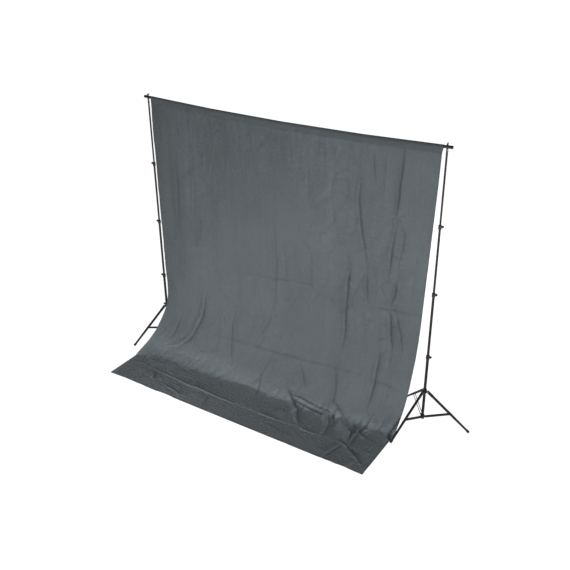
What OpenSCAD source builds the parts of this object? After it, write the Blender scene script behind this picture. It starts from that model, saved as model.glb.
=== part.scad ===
// Background support system for a photo studio.
// Two telescopic tripod stands carry a crossbar that plugs together from four tubes.
// A cloth backdrop hangs from the crossbar by a sewn pocket and sweeps forward onto the floor.
// Millimetres, +Z up. The side that is photographed against faces -Y.
// The origin is on the floor, at the middle of the space that the whole object takes up.

/* [Overall] */
// Distance between the upright axes of the two stands
span = 3000; // [2600:10:3200]
// Height of the crossbar's axis at the stands
bar_height = 2610; // [2600:5:2640]
// Height of the lowest collar's middle
first_collar_z = 719; // [715:1:730]
// Distance from one collar's middle to the next
section_step = 615; // [610:1:620]

/* [Tubes] */
// Outer diameter of the base tube; each riser above it is 3 mm thinner
base_tube_d = 25; // [24:0.5:28]
// Wall of every upright tube
tube_wall = 1.2; // [1:0.1:1.2]
// Radial gap between an upright tube and the tube inside it
slide_gap = 0.3; // [0.3:0.05:0.4]
// Length of riser that stays in the tube below at full height
riser_insert = 65; // [50:1:65]

/* [Collars and knobs] */
// Height of a clamp collar
collar_h = 36; // [32:1:38]
// Thickness of a collar outside its tube
collar_wall = 4.5; // [3:0.5:5]
// Length of the boss that the clamp screw passes through
boss_l = 4; // [4:1:8]
// Diameter of a knob
knob_d = 22; // [16:1:22]
// Length of a knob
knob_l = 11; // [10:1:16]
// Diameter of a clamp screw
screw_d = 6; // [5:1:6]

/* [Tripods] */
// Direction of the left stand's first leg, in degrees from +X
left_turn = 9; // [7:1:12]
// Direction of the right stand's first leg, in degrees from +X
right_turn = 13.4; // [13:0.1:16]
// Distance from the column's axis to the leg pins and brace pins
pivot_r = 30; // [29:0.5:32]
// Height of the leg pins
hub_z = 356.5; // [350:0.5:365]
// Height of the brace pins
yoke_z = 88; // [84:1:92]
// Distance from the column's axis to the middle of a foot
foot_r = 419.6; // [400:0.1:430]
// Distance along a leg from its pin to the brace's rivet
rivet_u = 287; // [280:1:292]
// Width of a leg's channel
leg_w = 16; // [15:0.5:18]
// Thickness of a leg's sheet metal
leg_wall = 1.5; // [1.2:0.1:1.8]

/* [Crossbar] */
// Outer diameter of the crossbar
bar_d = 25; // [24:0.5:26]
// Length of bar outside each stand's axis
bar_overhang = 37; // [34:1:45]
// Drop of the bar's middle below its ends, from the cloth's weight
bar_sag = 33; // [0:1:36]
// Length of a section's male end
plug_l = 50; // [45:1:60]

/* [Backdrop] */
// Thickness of the cloth
cloth_t = 0.8; // [0.6:0.1:1.2]
// Depth of the pocket below the bar's axis
pocket_l = 65; // [55:1:80]
// Distance from the left stand's axis in to the cloth's top corner
left_inset = 43; // [42:1:60]
// Distance from the right stand's axis in to the cloth's top corner
right_inset = 32; // [32:1:60]
// Distance from the left stand's axis out to the cloth's front corner
left_spread = 12; // [0:1:20]
// Distance from the right stand's axis in to the cloth's front corner
right_draw = 138; // [136:1:160]
// Distance from the stands' plane to the cloth's front edge
front_reach = 905; // [880:5:1100]
// Height at which the cloth's left edge begins to sweep forward
left_sweep_h = 550; // [500:10:600]
// Height at which the cloth's right edge begins to sweep forward
right_sweep_h = 1000; // [800:10:1200]
// Forward reach of the sweep at the left edge
left_sweep_d = 660; // [600:10:700]
// Forward reach of the sweep just inside the left edge
middle_sweep_d = 480; // [450:10:520]
// Forward reach of the sweep at the right edge
right_sweep_d = 380; // [360:10:420]
// Distance from the stands' plane to where the left edge meets the floor
left_touch = 560; // [540:10:600]
// Distance from the stands' plane to where the cloth just inside the left edge meets the floor
middle_touch = 410; // [400:10:440]
// Distance from the stands' plane to where the right edge meets the floor
right_touch = 330; // [320:5:350]

/* [Hidden] */
LEFT = -1;
RIGHT = 1;
$fn = 64;

// Upright tubes: index 0 is the base tube and 1 to 3 are the risers
function tube_r(i) = base_tube_d / 2 - i * (tube_wall + slide_gap);
function tube_bore_r(i) = tube_r(i) - tube_wall;
// Collar i sits on the top of tube i - 1 and clamps riser i
function collar_z(i) = first_collar_z + (i - 1) * section_step;
function collar_r(i) = tube_r(i - 1) + collar_wall;
fit_gap = 0.05;
seat_drop = 4;
screw_rise = 6;
tip_gap = 0.3;
boss_r = 7.5;
chamfer = 1.5;

// Crossbar: the joints between sections, from the left tip to the right tip
bar_r = bar_d / 2;
bar_wall = 1.2;
bar_bore_r = bar_r - bar_wall;
bar_half = span / 2 + bar_overhang;
joint_x = [-bar_half, -bar_half / 2, 0, bar_half / 2, bar_half];
quarter_z = bar_height - bar_sag * (1 - pow(bar_half / span, 2));
middle_z = bar_height - bar_sag;
end_slope = (bar_height - quarter_z) / (span / 2 - bar_half / 2);
function bar_z(x) =
    abs(x) > bar_half / 2
        ? quarter_z + (abs(x) - bar_half / 2) * end_slope
        : middle_z + (quarter_z - middle_z) * abs(x) / (bar_half / 2);
function bar_tilt(i) = atan2(bar_z(joint_x[i + 1]) - bar_z(joint_x[i]), joint_x[i + 1] - joint_x[i]);
end_tilt = atan(end_slope);
joint_gap = 0.3;
plug_r = bar_bore_r - 0.5;
plug_bore_r = plug_r - 1.2;
button_x = plug_l / 2;
button_r = 3.4;
button_hole_r = 3.9;
button_stand = 2.2;

// Stud and wing nut at the top of a stand
stud_r = 4;
stud_tip_r = 3.175;
stud_tip_l = 10;
stud_hole_r = 4.4;
shoulder_r = 8;
flange_r = 10;
flange_h = 4;
shoulder_z = bar_height - bar_r / cos(end_tilt) - shoulder_r * sin(end_tilt) - 0.2;
riser_top_z = shoulder_z - 24;
nut_r = 7;
nut_h = 9;
nut_z = bar_height + bar_r / cos(end_tilt) + nut_r * sin(end_tilt) + 0.2;
wing_reach = 17;
wing_t = 3;

// Tripod linkage, in a vertical plane through the column's axis
leg_drop = hub_z - 8;
leg_l = norm([foot_r - pivot_r, leg_drop]);
leg_angle = atan2(foot_r - pivot_r, leg_drop);
rivet_r = pivot_r + rivet_u * sin(leg_angle);
rivet_z = hub_z - rivet_u * cos(leg_angle);
brace_l = norm([rivet_r - pivot_r, rivet_z - yoke_z]);
brace_angle = atan2(rivet_r - pivot_r, rivet_z - yoke_z);
leg_pin_r = 3;
brace_pin_r = 2.5;
running_gap = 0.08;
barrel_r = base_tube_d / 2 + 5.5;
leg_top_d = 22;
leg_mid_d = 18;
leg_end_d = 12;
bracket_l = 52;
tongue_t = leg_w - 2 * leg_wall - 0.6;
bar_strip_t = 2;
bar_strip_w = 13;
side_gap = 0.3;
strip_y = leg_w / 2 + side_gap + bar_strip_t / 2;
foot_w = 18;
foot_d = 17;
foot_l = 30;
foot_tip = 6;

// Space that the feet and the cloth take up, which sets the origin
foot_out = pivot_r + (leg_l + foot_tip) * sin(leg_angle) + foot_d / 2 * cos(leg_angle);
function leg_turns(turn) = [for (k = [0:2]) turn + 120 * k];
function foot_xs(turn, side) =
    [for (a = leg_turns(turn)) foot_out * cos(a) + side * foot_w / 2 * abs(sin(a))];
function foot_ys(turn) = [for (a = leg_turns(turn)) foot_out * sin(a) + foot_w / 2 * abs(cos(a))];
low_x = -span / 2 + min(foot_xs(left_turn, LEFT));
high_x = span / 2 + max(foot_xs(right_turn, RIGHT));
high_y = max(concat(foot_ys(left_turn), foot_ys(right_turn)));
origin = [-(low_x + high_x) / 2, (front_reach - high_y) / 2, 0];

// Cloth: one path per station across the width, from the pocket's back layer to the front edge
cloth_r = bar_r + 0.5 + cloth_t / 2;
back_layer_y = -cloth_r + cloth_t + 0.5;
arc_steps = 6;
sweep_steps = 9;
left_sweep_turn = 71;
right_sweep_turn = 63;
left_strip = 0.12;
stations_per_section = 4;
left_top_x = -span / 2 + left_inset;
right_top_x = span / 2 - right_inset;
left_front_x = -span / 2 - left_spread;
right_front_x = span / 2 - right_draw;
cloth_joints = [left_top_x, joint_x[1], joint_x[2], joint_x[3], right_top_x];
function mix(a, b, share) = a + (b - a) * share;
cloth_x = concat(
    [for (i = [0:3], k = [0:stations_per_section - 1])
        mix(cloth_joints[i], cloth_joints[i + 1], k / stations_per_section)],
    [right_top_x]);
function width_share(x) = (x - left_top_x) / (right_top_x - left_top_x);
function left_share(x) = pow(max(0, 1 - width_share(x) / left_strip), 2);
function sweep_h(x) = mix(left_sweep_h, right_sweep_h, width_share(x));
function sweep_d(x) =
    mix(middle_sweep_d, right_sweep_d, width_share(x)) + (left_sweep_d - middle_sweep_d) * left_share(x);
function touch(x) =
    mix(middle_touch, right_touch, pow(width_share(x), 2)) + (left_touch - middle_touch) * left_share(x);
function sweep_turn(x) = mix(left_sweep_turn, right_sweep_turn, width_share(x));
function cloth_path(x) = concat(
    [[back_layer_y, bar_z(x) - pocket_l], [cloth_r, bar_z(x) - bar_r - 2.5]],
    [for (k = [0:arc_steps])
        [cloth_r * cos(180 * k / arc_steps), bar_z(x) + cloth_r * sin(180 * k / arc_steps)]],
    [[-cloth_r, bar_z(x) - pocket_l]],
    [for (k = [1, 2]) [-cloth_r, mix(bar_z(x) - pocket_l, sweep_h(x), k / 3)]],
    [for (k = [0:sweep_steps])
        [-cloth_r - sweep_d(x) * (1 - cos(sweep_turn(x) * k / sweep_steps)),
         sweep_h(x) * (1 - sin(sweep_turn(x) * k / sweep_steps))]],
    [[-touch(x), cloth_t / 2], [-front_reach, cloth_t / 2]]);
function unit(v) = v / norm(v);
function across(v) = [-v[1], v[0]];
function path_side(path, j) =
    let (a = path[max(j - 1, 0)], b = path[min(j + 1, len(path) - 1)]) across(unit(b - a));
// The left edge hangs straight and spreads in the sweep; the right edge draws in all the way down
spread_h = 600;
function edge_x(x, z) = mix(
    mix(left_top_x, left_front_x, pow(max(0, 1 - z / spread_h), 1.5)),
    mix(right_front_x, right_top_x, pow(z / (bar_height + cloth_r), 0.7)),
    width_share(x));
function cloth_point(x, path, j, side) =
    let (p = path[j] + path_side(path, j) * side * cloth_t / 2) [edge_x(x, path[j][1]), p[0], p[1]];

// ---- placing ----

module at_stand(side) {
    translate(origin + [side * span / 2, 0, 0]) children();
}

function first_turn(side) = side == LEFT ? left_turn : right_turn;

// Leg k's vertical plane: the radial direction is +X
module at_leg(side, k) {
    at_stand(side) rotate([0, 0, first_turn(side) + 120 * k]) children();
}

// Joint i of the crossbar, with +X along the section that starts there
module at_joint(i) {
    translate(origin + [joint_x[i], 0, bar_z(joint_x[i])]) rotate([0, -bar_tilt(i), 0]) children();
}

// Collar i's knob axis, with +X pointing out of the boss
module at_knob(side, i) {
    at_stand(side) translate([0, 0, collar_z(i) + screw_rise]) rotate([0, 0, side == LEFT ? 180 : 0])
        children();
}

// A cylinder that lies along +X
module rod(r, x0, x1) {
    translate([x0, 0, 0]) rotate([0, 90, 0]) cylinder(r = r, h = x1 - x0);
}

// A cylinder that lies along Y, centred
module cross_pin(r, l) {
    rotate([90, 0, 0]) cylinder(r = r, h = l, center = true);
}

// A flat outline in the XZ plane, given a thickness along Y
module plate(t) {
    rotate([90, 0, 0]) linear_extrude(height = t, center = true) children();
}

// ---- crossbar ----

// Section i, from 0 to 3: a tube whose male end points along the next section
module bar_section(i) {
    length = norm([joint_x[i + 1] - joint_x[i], bar_z(joint_x[i + 1]) - bar_z(joint_x[i])]);
    color("dimgray") difference() {
        union() {
            at_joint(i) difference() {
                rod(bar_r, joint_gap, length - joint_gap);
                rod(bar_bore_r, 0, length);
            }
            if (i < 3) at_joint(i + 1) {
                rod(plug_r, -20, plug_l);
                rod(bar_bore_r + 0.5, -14, -4);
            }
        }
        if (i < 3) at_joint(i + 1) {
            rod(plug_bore_r, -21, plug_l + 1);
            translate([button_x, 0, -bar_r]) cylinder(r = button_hole_r, h = bar_r);
        }
        if (i > 0) at_joint(i) translate([button_x, 0, -bar_r - 1]) cylinder(r = button_hole_r, h = bar_r);
        if (i == 0) stud_hole(LEFT);
        if (i == 3) stud_hole(RIGHT);
    }
}

module stud_hole(side) {
    at_stand(side) translate([0, 0, bar_height - bar_r - 5]) cylinder(r = stud_hole_r, h = bar_d + 10);
}

// Closes the tube: a plug inside, a rim outside and a low dome
module end_cap() {
    rotate([0, 90, 0]) rotate_extrude() polygon([
        [0, -15], [bar_bore_r - fit_gap, -15], [bar_bore_r - fit_gap, 0], [bar_r + 0.7, 0],
        [bar_r + 0.7, 4], [bar_r - 0.6, 6.5], [bar_r - 3.5, 8.2], [0, 9]
    ]);
}

module bar_end_caps() {
    color("black") {
        translate(origin + [bar_half, 0, bar_z(bar_half)]) rotate([0, -end_tilt, 0]) end_cap();
        translate(origin + [-bar_half, 0, bar_z(-bar_half)]) rotate([0, -end_tilt, 180]) end_cap();
    }
}

leaf_w = 6;
leaf_t = 0.5;
leaf_z = -7.2;
leaf_l = 17;
spring_back = 10;
spring_bend = 20.5;
spring_top = 9;
spring_corner = 1.5;

// Button i, from 1 to 3, with the moving half of its leaf spring
module spring_button(i) {
    color("silver") at_joint(i) union() {
        translate([button_x, 0, -bar_r - button_stand])
            cylinder(r = button_r, h = bar_r + button_stand - 7.5);
        translate([button_x, 0, -8.2]) cylinder(r = 4.5, h = 1);
        translate([button_x, -leaf_w / 2, leaf_z - 0.1]) cube([leaf_l, leaf_w, leaf_t + 0.1]);
    }
}

// One edge of the bent strip, seen from the side: along the top, round the end and back below
function spring_edge(inset) = [
    [-spring_back, spring_top - inset], [spring_bend - spring_corner, spring_top - inset],
    [spring_bend - inset, spring_top - spring_corner], [spring_bend - inset, leaf_z + spring_corner],
    [spring_bend - spring_corner, leaf_z + inset], [leaf_l + 0.5, leaf_z + inset]
];

// The fixed halves of the leaf springs, which bear on the far side of the male ends
module button_springs() {
    inner = spring_edge(leaf_t);
    outline = concat(spring_edge(0), [for (j = [len(inner) - 1:-1:0]) inner[j]]);
    color("silver") for (i = [1:3]) at_joint(i) plate(leaf_w) translate([button_x, 0]) polygon(outline);
}

// ---- backdrop ----

module backdrop() {
    paths = [for (x = cloth_x) cloth_path(x)];
    rows = len(paths[0]);
    columns = len(cloth_x);
    function at(i, j, side) = 2 * (i * rows + j) + side;
    function panel(a, b, c, d) = [[a, b, c], [a, c, d]];
    points = [for (i = [0:columns - 1], j = [0:rows - 1], side = [-1, 1])
        cloth_point(cloth_x[i], paths[i], j, side) + origin];
    faces = concat(
        [for (i = [0:columns - 2], j = [0:rows - 2])
            each panel(at(i, j, 0), at(i + 1, j, 0), at(i + 1, j + 1, 0), at(i, j + 1, 0))],
        [for (i = [0:columns - 2], j = [0:rows - 2])
            each panel(at(i, j, 1), at(i, j + 1, 1), at(i + 1, j + 1, 1), at(i + 1, j, 1))],
        [for (j = [0:rows - 2]) each panel(at(0, j, 0), at(0, j + 1, 0), at(0, j + 1, 1), at(0, j, 1))],
        [for (j = [0:rows - 2], i = columns - 1)
            each panel(at(i, j, 0), at(i, j, 1), at(i, j + 1, 1), at(i, j + 1, 0))],
        [for (i = [0:columns - 2]) each panel(at(i, 0, 0), at(i, 0, 1), at(i + 1, 0, 1), at(i + 1, 0, 0))],
        [for (i = [0:columns - 2], j = rows - 1)
            each panel(at(i, j, 0), at(i + 1, j, 0), at(i + 1, j, 1), at(i, j, 1))]);
    color("slategray") polyhedron(points, faces);
}

// ---- top of a stand ----

module stud(side) {
    plug = tube_bore_r(3) - fit_gap;
    top = nut_z + nut_h;
    color("silver") at_stand(side) rotate_extrude() polygon([
        [0, riser_top_z - 25], [plug - 1, riser_top_z - 25], [plug, riser_top_z - 23], [plug, riser_top_z],
        [flange_r, riser_top_z], [flange_r, riser_top_z + flange_h], [shoulder_r, riser_top_z + flange_h + 2],
        [shoulder_r, shoulder_z], [stud_r, shoulder_z], [stud_r, top],
        [stud_tip_r, top + 1], [stud_tip_r, top + 1 + stud_tip_l], [0, top + 1 + stud_tip_l]
    ]);
}

// The wings stand across the bar
module wing_nut(side) {
    color("black") at_stand(side) translate([0, 0, nut_z]) difference() {
        union() {
            rotate_extrude() polygon([[0, 0], [nut_r, 0], [nut_r, 3], [nut_r - 1.5, nut_h], [0, nut_h]]);
            for (turn = [0, 180]) rotate([0, 0, turn + 90]) plate(wing_t) polygon([
                [2, 1], [nut_r - 1, 1], [wing_reach - 3, 7], [wing_reach, 12], [wing_reach - 1, 17],
                [wing_reach - 4, 18], [wing_reach - 8, 14], [nut_r - 1, 8], [2, 7]
            ]);
        }
        translate([0, 0, -1]) cylinder(r = stud_r + running_gap, h = 22);
    }
}

// ---- upright tubes ----

module upright(side, i, z0, z1) {
    color("black") at_stand(side) difference() {
        translate([0, 0, z0]) cylinder(r = tube_r(i), h = z1 - z0);
        translate([0, 0, z0 - 1]) cylinder(r = tube_bore_r(i), h = z1 - z0 + 2);
    }
}

module base_tube(side) {
    upright(side, 0, yoke_z - 18, collar_z(1) - seat_drop);
}

module riser(side, i) {
    top = i == 3 ? riser_top_z : collar_z(i + 1) - seat_drop;
    upright(side, i, collar_z(i) - riser_insert, top);
}

// ---- collars and knobs ----

// The lower bore seats on the tube below, the upper bore guides the riser
module collar(side, i) {
    outer = collar_r(i);
    seat = tube_r(i - 1) + fit_gap;
    guide = tube_r(i) + slide_gap;
    color("black") at_stand(side) translate([0, 0, collar_z(i)]) difference() {
        union() {
            rotate_extrude() polygon([
                [seat, -collar_h / 2], [outer - chamfer, -collar_h / 2], [outer, chamfer - collar_h / 2],
                [outer, collar_h / 2 - chamfer], [outer - chamfer, collar_h / 2], [guide, collar_h / 2],
                [guide, -seat_drop], [seat, -seat_drop]
            ]);
            rotate([0, 0, side == LEFT ? 180 : 0]) translate([0, 0, screw_rise])
                rod(boss_r, guide + 2, outer + boss_l);
        }
        rotate([0, 0, side == LEFT ? 180 : 0]) translate([0, 0, screw_rise])
            rod(screw_d / 2 + tip_gap, 0, outer + boss_l + 1);
        translate([0, 0, -seat_drop]) cylinder(r = guide, h = collar_h);
    }
}

// A five-lobed knob on a clamp screw: the screw's tip stops just short of radius tip
module clamp_knob(tip, start) {
    rod(screw_d / 2, tip + tip_gap, start + 2);
    difference() {
        rotate([0, 90, 0]) rotate_extrude() polygon([
            [0, start], [knob_d / 2 - 3, start], [knob_d / 2, start + 3], [knob_d / 2, start + knob_l - 2],
            [knob_d / 2 - 2, start + knob_l], [0, start + knob_l]
        ]);
        for (k = [0:4]) rotate([72 * k, 0, 0]) translate([0, 0, knob_d / 2 + 2])
            rod(4, start + 2, start + knob_l + 1);
    }
}

module knob(side, i) {
    color("black") at_knob(side, i) clamp_knob(tube_r(i), collar_r(i) + boss_l + 0.5);
}

// ---- tripod ----

// The body that the tongues grow from
module barrel(z0, z1) {
    translate([0, 0, z0]) cylinder(r = barrel_r, h = z1 - z0);
}

// A tongue that ends round the pin at pivot_r, from the column's surface outward
module tongue(z, t, end_r) {
    translate([0, 0, z]) plate(t) union() {
        translate([base_tube_d / 2 + 1, -end_r]) square([pivot_r - base_tube_d / 2 - 1, 2 * end_r]);
        translate([pivot_r, 0]) circle(r = end_r);
    }
}

hub_knob_rise = 18;
function hub_knob_turn(side) = side == LEFT ? 180 : 300;

module hub(side) {
    color("black") difference() {
        union() {
            at_stand(side) barrel(hub_z - 14, hub_z + 28);
            for (k = [0:2]) at_leg(side, k) tongue(hub_z, tongue_t, 10);
            at_hub_knob(side) rod(boss_r, base_tube_d / 2 + 2, barrel_r + boss_l);
        }
        at_stand(side) translate([0, 0, hub_z - 20]) cylinder(r = base_tube_d / 2 + slide_gap, h = 60);
        for (k = [0:2]) at_leg(side, k) translate([pivot_r, 0, hub_z]) cross_pin(leg_pin_r + fit_gap, 40);
        at_hub_knob(side) rod(screw_d / 2 + tip_gap, 0, barrel_r + boss_l + 1);
    }
}

module at_hub_knob(side) {
    at_leg(side, 0) rotate([0, 0, hub_knob_turn(side)]) translate([0, 0, hub_z + hub_knob_rise]) children();
}

module hub_knob(side) {
    color("black") at_hub_knob(side) clamp_knob(base_tube_d / 2, barrel_r + boss_l + 0.5);
}

// A headed pin through each leg's two walls and the hub's tongue
module hub_pins(side) {
    half = leg_w / 2 + side_gap;
    color("silver") for (k = [0:2]) at_leg(side, k) translate([pivot_r, 0, hub_z]) {
        cross_pin(leg_pin_r, 2 * half + 1);
        for (s = [-1, 1]) translate([0, s * (half + 0.75), 0]) cross_pin(5, 1.5);
    }
}

// The cup at the bottom of the column, with its brace pins
module lower_yoke(side) {
    half = strip_y + bar_strip_t / 2 + side_gap;
    color("black") difference() {
        union() {
            at_stand(side) barrel(yoke_z - 22, yoke_z + 14);
            for (k = [0:2]) at_leg(side, k) tongue(yoke_z, leg_w, 8);
        }
        at_stand(side) translate([0, 0, yoke_z - 18.05]) cylinder(r = base_tube_d / 2 + fit_gap, h = 50);
        for (k = [0:2]) at_leg(side, k) translate([pivot_r, 0, yoke_z]) cross_pin(brace_pin_r + fit_gap, 40);
    }
    color("silver") for (k = [0:2]) at_leg(side, k) translate([pivot_r, 0, yoke_z]) {
        cross_pin(brace_pin_r, 2 * half + 1);
        for (s = [-1, 1]) translate([0, s * (half + 0.75), 0]) cross_pin(4.5, 1.5);
    }
}

// Leg k's own frame: the pin at the origin, +X down the leg and +Z to the side that faces out and up
module along_leg(side, k) {
    at_leg(side, k) translate([pivot_r, 0, hub_z]) rotate([0, 90 - leg_angle, 0]) children();
}

channel_end = leg_l - 8;

// Side view of a leg: deep at the bracket, then a plain channel that tapers below the rivet
module leg_outline() {
    circle(r = leg_top_d / 2);
    polygon([
        [0, -leg_top_d / 2], [bracket_l, -leg_top_d / 2], [bracket_l + 6, -leg_mid_d / 2],
        [rivet_u + 14, -leg_mid_d / 2], [channel_end, -leg_end_d / 2],
        [channel_end, leg_end_d / 2], [rivet_u + 14, leg_mid_d / 2],
        [bracket_l + 6, leg_mid_d / 2], [bracket_l, leg_top_d / 2], [0, leg_top_d / 2]
    ]);
}

// The open inside of the channel: the web stays on the +Z side and begins just past the pin
module leg_inside() {
    polygon([
        [-20, -20], [-20, 20], [6, 20], [6, leg_top_d / 2 - leg_wall],
        [bracket_l - 0.5, leg_top_d / 2 - leg_wall], [bracket_l + 5.5, leg_mid_d / 2 - leg_wall],
        [rivet_u + 14, leg_mid_d / 2 - leg_wall], [channel_end + 1, leg_end_d / 2 - leg_wall],
        [channel_end + 1, -20]
    ]);
}

module leg(side, k) {
    color("black") along_leg(side, k) difference() {
        plate(leg_w) leg_outline();
        plate(leg_w - 2 * leg_wall) leg_inside();
        cross_pin(leg_pin_r + running_gap, 40);
        translate([rivet_u, 0, 0]) cross_pin(brace_pin_r + running_gap, 40);
    }
}

// A rubber cap over the end of the channel, worn flat where it meets the floor
module foot(side, k) {
    color("black") difference() {
        along_leg(side, k) difference() {
            translate([leg_l + foot_tip - foot_l, -foot_w / 2, -foot_d / 2]) cube([foot_l, foot_w, foot_d]);
            translate([leg_l - foot_l, 0, 0]) plate(leg_w + 2 * fit_gap) polygon([
                [-10, -leg_end_d / 2 - 1], [foot_l - 8 + fit_gap, -leg_end_d / 2 - 0.4],
                [foot_l - 8 + fit_gap, leg_end_d / 2 + 0.4], [-10, leg_end_d / 2 + 1]
            ]);
        }
        at_leg(side, k) translate([foot_r - 100, -50, -50]) cube([200, 100, 50]);
    }
}

// A pair of flat bars from the lower yoke to the leg, with rivet heads at the outer end
module brace(side, k) {
    color("black") at_leg(side, k) translate([pivot_r, 0, yoke_z]) rotate([0, brace_angle - 90, 0])
        for (s = [-1, 1]) translate([0, s * strip_y, 0]) {
            difference() {
                plate(bar_strip_t) union() {
                    translate([0, -bar_strip_w / 2]) square([brace_l, bar_strip_w]);
                    circle(r = bar_strip_w / 2);
                    translate([brace_l, 0]) circle(r = bar_strip_w / 2);
                }
                cross_pin(brace_pin_r + running_gap, 10);
            }
            translate([brace_l, s * (bar_strip_t / 2 + 0.7), 0]) cross_pin(4.5, 1.6);
        }
}

// ---- the nodes ----

bar_section(0);  // bar_section_1
bar_section(1);  // bar_section_2
bar_section(2);  // bar_section_3
bar_section(3);  // bar_section_4
bar_end_caps();
button_springs();
spring_button(1);  // spring_button_1
spring_button(2);  // spring_button_2
spring_button(3);  // spring_button_3
backdrop();
stud(LEFT);  // left_stud
wing_nut(LEFT);  // left_wing_nut
riser(LEFT, 3);  // left_riser_3
riser(LEFT, 2);  // left_riser_2
riser(LEFT, 1);  // left_riser_1
base_tube(LEFT);  // left_base_tube
collar(LEFT, 3);  // left_collar_3
collar(LEFT, 2);  // left_collar_2
collar(LEFT, 1);  // left_collar_1
knob(LEFT, 3);  // left_knob_3
knob(LEFT, 2);  // left_knob_2
knob(LEFT, 1);  // left_knob_1
hub(LEFT);  // left_hub
hub_pins(LEFT);  // left_hub_pins
hub_knob(LEFT);  // left_hub_knob
lower_yoke(LEFT);  // left_lower_yoke
leg(LEFT, 0);  // left_leg_a
leg(LEFT, 1);  // left_leg_b
leg(LEFT, 2);  // left_leg_c
brace(LEFT, 0);  // left_brace_a
brace(LEFT, 1);  // left_brace_b
brace(LEFT, 2);  // left_brace_c
foot(LEFT, 0);  // left_foot_a
foot(LEFT, 1);  // left_foot_b
foot(LEFT, 2);  // left_foot_c
stud(RIGHT);  // right_stud
wing_nut(RIGHT);  // right_wing_nut
riser(RIGHT, 3);  // right_riser_3
riser(RIGHT, 2);  // right_riser_2
riser(RIGHT, 1);  // right_riser_1
base_tube(RIGHT);  // right_base_tube
collar(RIGHT, 3);  // right_collar_3
collar(RIGHT, 2);  // right_collar_2
collar(RIGHT, 1);  // right_collar_1
knob(RIGHT, 3);  // right_knob_3
knob(RIGHT, 2);  // right_knob_2
knob(RIGHT, 1);  // right_knob_1
hub(RIGHT);  // right_hub
hub_pins(RIGHT);  // right_hub_pins
hub_knob(RIGHT);  // right_hub_knob
lower_yoke(RIGHT);  // right_lower_yoke
leg(RIGHT, 0);  // right_leg_a
leg(RIGHT, 1);  // right_leg_b
leg(RIGHT, 2);  // right_leg_c
brace(RIGHT, 0);  // right_brace_a
brace(RIGHT, 1);  // right_brace_b
brace(RIGHT, 2);  // right_brace_c
foot(RIGHT, 0);  // right_foot_a
foot(RIGHT, 1);  // right_foot_b
foot(RIGHT, 2);  // right_foot_c
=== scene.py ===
"""Looks of a background support system: two telescopic stands, a crossbar and a grey muslin backdrop."""
import bpy
import math
import numpy as np
from mathutils import Matrix, Vector


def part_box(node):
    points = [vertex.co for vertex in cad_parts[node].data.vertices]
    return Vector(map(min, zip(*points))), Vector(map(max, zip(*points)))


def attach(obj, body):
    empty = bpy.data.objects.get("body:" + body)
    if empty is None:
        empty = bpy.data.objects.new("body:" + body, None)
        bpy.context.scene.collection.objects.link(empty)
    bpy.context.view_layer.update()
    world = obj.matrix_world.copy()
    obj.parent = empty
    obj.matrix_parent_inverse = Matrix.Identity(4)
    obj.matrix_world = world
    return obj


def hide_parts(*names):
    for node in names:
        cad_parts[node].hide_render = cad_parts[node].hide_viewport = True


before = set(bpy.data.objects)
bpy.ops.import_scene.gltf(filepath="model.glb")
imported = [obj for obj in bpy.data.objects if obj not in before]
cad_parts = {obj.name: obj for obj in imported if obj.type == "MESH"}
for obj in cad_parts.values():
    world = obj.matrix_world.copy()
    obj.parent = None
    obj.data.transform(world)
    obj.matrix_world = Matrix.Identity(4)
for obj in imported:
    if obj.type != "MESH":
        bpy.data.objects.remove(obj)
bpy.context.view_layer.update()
SIDES = ("left", "right")

# ---- places, all read from the frame ----


def centre(node):
    low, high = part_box(node)
    return (low + high) / 2


LEFT_AXIS = centre("left_base_tube")
RIGHT_AXIS = centre("right_base_tube")
STAND_Y = LEFT_AXIS.y
MIDDLE = Vector(((LEFT_AXIS.x + RIGHT_AXIS.x) / 2, STAND_Y, 0.0))
HALF_SPAN = (RIGHT_AXIS.x - LEFT_AXIS.x) / 2
BAR_LOW, BAR_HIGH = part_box("bar_section_1")
BAR_R = (BAR_HIGH.y - BAR_LOW.y) / 2
BAR_END_X = HALF_SPAN + LEFT_AXIS.x - BAR_LOW.x
BAR_END_Z = BAR_HIGH.z - BAR_R
BAR_QUARTER_Z = BAR_LOW.z + BAR_R
BAR_MIDDLE_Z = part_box("bar_section_2")[0].z + BAR_R


def bar_z(x):
    """Height of the crossbar's axis at x metres from the middle."""
    share = abs(x) / BAR_END_X
    if share > 0.5:
        return BAR_QUARTER_Z + (BAR_END_Z - BAR_QUARTER_Z) * (share - 0.5) * 2
    return BAR_MIDDLE_Z + (BAR_QUARTER_Z - BAR_MIDDLE_Z) * share * 2


# ---- camera, floor and light ----

# From the middle between the stands, at floor level
CAMERA_OFFSET = Vector((3.5167, -5.4107, 4.3796))
CAMERA_AZIMUTH = math.radians(32.8475)
CAMERA_DOWN = math.radians(27.5332)
CAMERA_ROLL = math.radians(-0.4571)
LENS_MM = 48.48
SENSOR_MM = 36.0
CLIP_END = 200.0


def make_camera():
    data = bpy.data.cameras.new("camera")
    data.lens = LENS_MM
    data.sensor_width = SENSOR_MM
    data.clip_end = CLIP_END
    camera = bpy.data.objects.new("camera", data)
    bpy.context.scene.collection.objects.link(camera)
    ahead = -Vector((
        math.sin(CAMERA_AZIMUTH) * math.cos(CAMERA_DOWN),
        -math.cos(CAMERA_AZIMUTH) * math.cos(CAMERA_DOWN),
        math.sin(CAMERA_DOWN),
    ))
    right = ahead.cross(Vector((0, 0, 1))).normalized()
    up = right.cross(ahead)
    c, s = math.cos(CAMERA_ROLL), math.sin(CAMERA_ROLL)
    right, up = c * right + s * up, c * up - s * right
    turn = Matrix((right, up, -ahead)).transposed().to_4x4()
    camera.matrix_world = Matrix.Translation(MIDDLE + CAMERA_OFFSET) @ turn
    bpy.context.scene.camera = camera


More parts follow.
